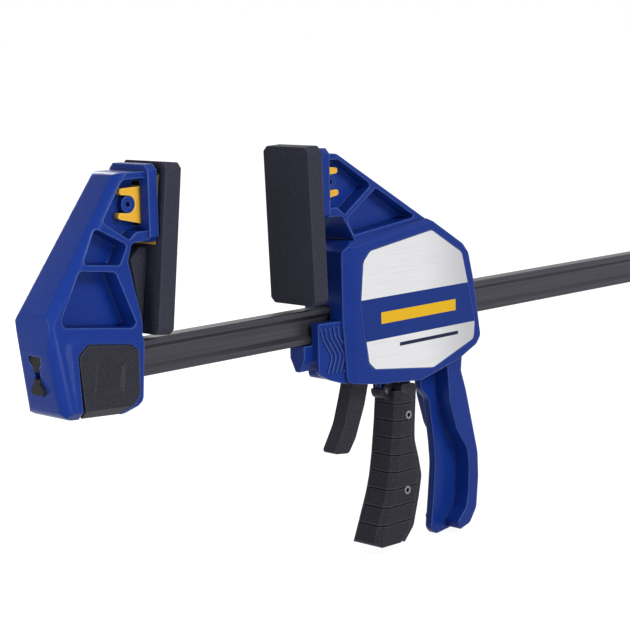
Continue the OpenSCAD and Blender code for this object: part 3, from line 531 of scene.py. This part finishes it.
def make_printed_plate():
    material, nodes, links, shader = new_surface("plate_metal")
    streaks = place_effect(
        nodes, drawn_streaks, Lines_per_metre=2600, Contrast=1.0, Dark=PLATE_DARK, Light=PLATE_LIGHT)
    along = split_place(nodes, links)["X"]
    # Painted shade: the plate's colour darkens towards the rear.
    rear = spread_node(nodes, links, along, PLATE_SHADE_FROM, PLATE_SHADE_TO)
    rear.interpolation_type = "SMOOTHSTEP"
    colour = mix_colours(nodes, links, rear.outputs["Result"], streaks.outputs["Colour"], PLATE_SHADE)
    inked = None
    for plain, deep, ((x_from, x_to), (z_from, z_to)) in PRINTS:
        ink = place_effect(nodes, moulded_grain, Grains_per_metre=1500, Speckle=0.6, Deep=deep, Plain=plain)
        area = place_effect(nodes, printed_area, X_from=x_from, X_to=x_to, Z_from=z_from, Z_to=z_to)
        mask = area.outputs["Mask"]
        colour = mix_colours(nodes, links, mask, colour, ink.outputs["Colour"])
        inked = mask if inked is None else math_node(nodes, links, "MAXIMUM", inked, mask)
    bare = nodes.new("ShaderNodeMath")
    bare.operation = "SUBTRACT"
    bare.inputs[0].default_value = 1.0
    links.new(inked, bare.inputs[1])
    links.new(colour, shader.inputs["Base Color"])
    links.new(bare.outputs["Value"], shader.inputs["Metallic"])
    shader.inputs["Roughness"].default_value = PLATE_ROUGHNESS
    shader.inputs["Specular IOR Level"].default_value = PLATE_INK_GLOSS
    bump(nodes, links, streaks.outputs["Height"], shader, strength=0.08, depth=0.04 * MM)
    return material


dress(
    ["near_side_plate", "far_side_plate"], make_printed_plate(),
    PLATE_EDGE_ROUND, segments=2)


# Levers. Blanked steel drive and brake plates around the bar, on ground pins pressed through
# the housing, with coil springs that return them, and a black release lever in front.
LEVER_DARK = (0.10, 0.10, 0.105, 1)
LEVER_LIGHT = (0.20, 0.20, 0.205, 1)
LEVER_ROUND = 0.3 * MM
PIN_ROUND = 0.2 * MM
RELEASE_ROUND = 0.7 * MM

lever_steel = make_steel("lever_steel", LEVER_DARK, LEVER_LIGHT, roughness=0.42, lines=1500)
dress(["drive_lever", "brake_lever"], lever_steel, LEVER_ROUND, segments=2)
dress(
    ["drive_lever_pin", "brake_pin", "release_pin", "trigger_pin"], pin_steel,
    PIN_ROUND, segments=2)
add_coil("drive_spring", "moving_jaw_body")
add_coil("brake_spring", "moving_jaw_body")
dress(["release_lever"], black_plastic, RELEASE_ROUND)


# Trigger. A black core with a rear rim turns on the trigger pin. A grained, grooved grip is
# held on its front by two tubular rivets with rolled ends.
GRIP_PLAIN = (0.044, 0.043, 0.060, 1)
GRIP_DEEP = (0.016, 0.016, 0.023, 1)
TRIGGER_ROUND = 0.4 * MM
GRIP_ROUND = 0.22 * MM
RIVET_ROUND = 0.12 * MM

grip_black = make_moulding(
    "grip_black", GRIP_PLAIN, GRIP_DEEP, BLACK_HIGHLIGHT,
    gloss=0.07, roughness=0.45, grains=1000, speckle=0.85, relief=0.8)
dress(["trigger"], black_plastic, TRIGGER_ROUND)
dress(["trigger_grip"], grip_black, GRIP_ROUND, segments=2)
dress(["trigger_rivets"], pin_steel, RIVET_ROUND, segments=2)


# Studio. A white floor under the clamp and a white surround, a key light in front and above, a
# lower one in front, and weaker ones overhead, behind the clamp and near the fixed jaw's rear.
# Each lamp's row gives its power, its width, and its offset from the point it shines on.
CLAMP_MIDDLE = Vector((0.12, 0, -0.05))
JAW_REAR = Vector((-0.06, 0, -0.02))
LAMPS = [
    ("key", 11, 0.5, (0.08, -1.18, 0.85), CLAMP_MIDDLE),
    ("front", 3.2, 0.25, (-0.363, -1.0, -0.105), CLAMP_MIDDLE),
    ("overhead", 2.5, 1.2, (0.0, 0.0, 1.4), CLAMP_MIDDLE),
    ("fill", 0.45, 0.2, (-0.25, -0.05, 0.06), JAW_REAR),
    ("back", 7, 0.6, (0.35, 1.15, 0.45), CLAMP_MIDDLE)]
WHITE = (1, 1, 1, 1)
SURROUND_LIGHT = 0.13
FLOOR_GREY = (0.55, 0.55, 0.55, 1)
FLOOR_SHADOWED = (0.19, 0.19, 0.19, 1)
FLOOR_ROUGHNESS = 0.9
FLOOR_GLOW = 0.91
FLOOR_HALF = 30.0
FLOOR_GAP = 0.0005
SHADOW_NEAR = 0.25
SHADOW_FAR = 0.75


def seen_directly(nodes, links):
    """1 for rays from the camera, and for those that gloss or glass sends on."""
    path = nodes.new("ShaderNodeLightPath")
    total = path.outputs["Is Camera Ray"]
    for label in ("Is Glossy Ray", "Is Transmission Ray"):
        total = math_node(nodes, links, "MAXIMUM", total, path.outputs[label])
    return total


def make_surround():
    world = bpy.data.worlds.new("surround")
    bpy.context.scene.world = world
    world.use_nodes = True
    nodes, links = world.node_tree.nodes, world.node_tree.links
    light = nodes["Background"]
    light.inputs["Color"].default_value = WHITE
    strength = nodes.new("ShaderNodeMapRange")
    strength.inputs["To Min"].default_value = SURROUND_LIGHT
    strength.inputs["To Max"].default_value = 1.0
    links.new(seen_directly(nodes, links), strength.inputs["Value"])
    links.new(strength.outputs["Result"], light.inputs["Strength"])


def make_floor():
    """A floor that glows white where it is seen, less so near the clamp, whose shadow it keeps."""
    material, nodes, links, shader = new_surface("floor_white")
    shader.inputs["Roughness"].default_value = FLOOR_ROUGHNESS
    shader.inputs["Emission Color"].default_value = WHITE
    seen = seen_directly(nodes, links)
    links.new(mix_colours(nodes, links, seen, FLOOR_GREY, FLOOR_SHADOWED), shader.inputs["Base Color"])
    place = nodes.new("ShaderNodeTexCoord")
    away = nodes.new("ShaderNodeVectorMath")
    away.operation = "LENGTH"
    links.new(place.outputs["Object"], away.inputs[0])
    glow = spread_node(nodes, links, away.outputs["Value"], SHADOW_NEAR, SHADOW_FAR)
    glow.inputs["To Min"].default_value = FLOOR_GLOW
    glow.inputs["To Max"].default_value = 1.0
    amount = math_node(nodes, links, "MULTIPLY", seen, glow.outputs["Result"])
    links.new(amount, shader.inputs["Emission Strength"])
    data = bpy.data.meshes.new("floor")
    corners = [(x * FLOOR_HALF, y * FLOOR_HALF, 0) for x, y in ((-1, -1), (1, -1), (1, 1), (-1, 1))]
    data.from_pydata(corners, [], [(0, 1, 2, 3)])
    data.materials.append(material)
    floor = bpy.data.objects.new("floor", data)
    floor.location = (CLAMP_MIDDLE.x, CLAMP_MIDDLE.y, cad_box[0].z - FLOOR_GAP)
    bpy.context.scene.collection.objects.link(floor)


def add_lamp(name, power, size, offset, target):
    """A square lamp at an offset from the point it shines on, itself unseen."""
    data = bpy.data.lights.new(name, "AREA")
    data.energy = power
    data.size = size
    lamp = bpy.data.objects.new(name, data)
    lamp.location = target + Vector(offset)
    lamp.rotation_euler = (-Vector(offset)).to_track_quat("-Z", "Y").to_euler()
    lamp.visible_camera = False
    bpy.context.scene.collection.objects.link(lamp)


make_surround()
make_floor()
for lamp_row in LAMPS:
    add_lamp(*lamp_row)


# Camera. A long lens, from the left front and a little above, as the clamp stands with its bar
# level. Its place and its three directions are in the clamp's frame.
CAMERA_PLACE = Vector((-649.244, -764.461, 115.887)) * MM
CAMERA_RIGHT = (0.701796, -0.711985, -0.023641)
CAMERA_UP = (0.125633, 0.091033, 0.987891)
CAMERA_BACK = (-0.701212, -0.696268, 0.153336)
LENS = 106.70
SENSOR = 36

camera_data = bpy.data.cameras.new("camera")
camera_data.lens = LENS
camera_data.sensor_width = SENSOR
camera = bpy.data.objects.new("camera", camera_data)
bpy.context.scene.collection.objects.link(camera)
turn = Matrix((CAMERA_RIGHT, CAMERA_UP, CAMERA_BACK)).transposed()
camera.matrix_world = Matrix.Translation(CAMERA_PLACE) @ turn.to_4x4()
bpy.context.scene.camera = camera
bpy.context.scene.view_settings.view_transform = "Standard"
